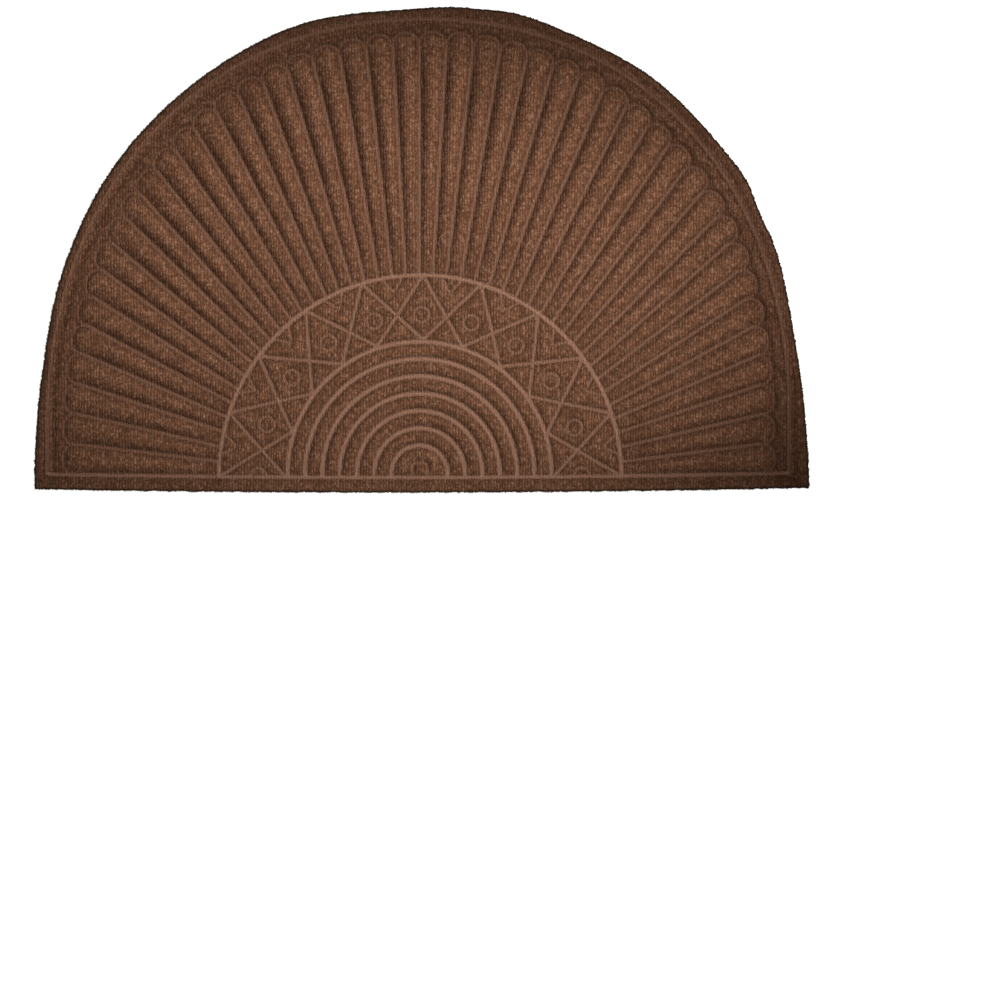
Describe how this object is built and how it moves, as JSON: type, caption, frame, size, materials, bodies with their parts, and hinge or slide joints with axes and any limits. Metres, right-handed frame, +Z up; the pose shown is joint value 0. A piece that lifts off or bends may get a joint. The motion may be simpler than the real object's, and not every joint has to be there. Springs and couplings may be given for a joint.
{
  "type": "half round doormat",
  "caption": "Flat half round doormat with a straight edge and a rounded edge, embossed with a fan of petals round a medallion of half rings, zigzags and buttons.",
  "frame": {"origin": "middle of the bounding box at the underside, on the floor", "axes": "+X along the straight edge, to the right in the picture; +Y from the straight edge to the rounded edge; +Z up through the thickness"},
  "size_m": [0.9894, 0.62, 0.008],
  "materials": {
    "carpet": "ribbed needle-punched pile with smooth pressed lines"
  },
  "bodies": {
    "root": {"mat": "carpet"}
  },
  "joints": []
}
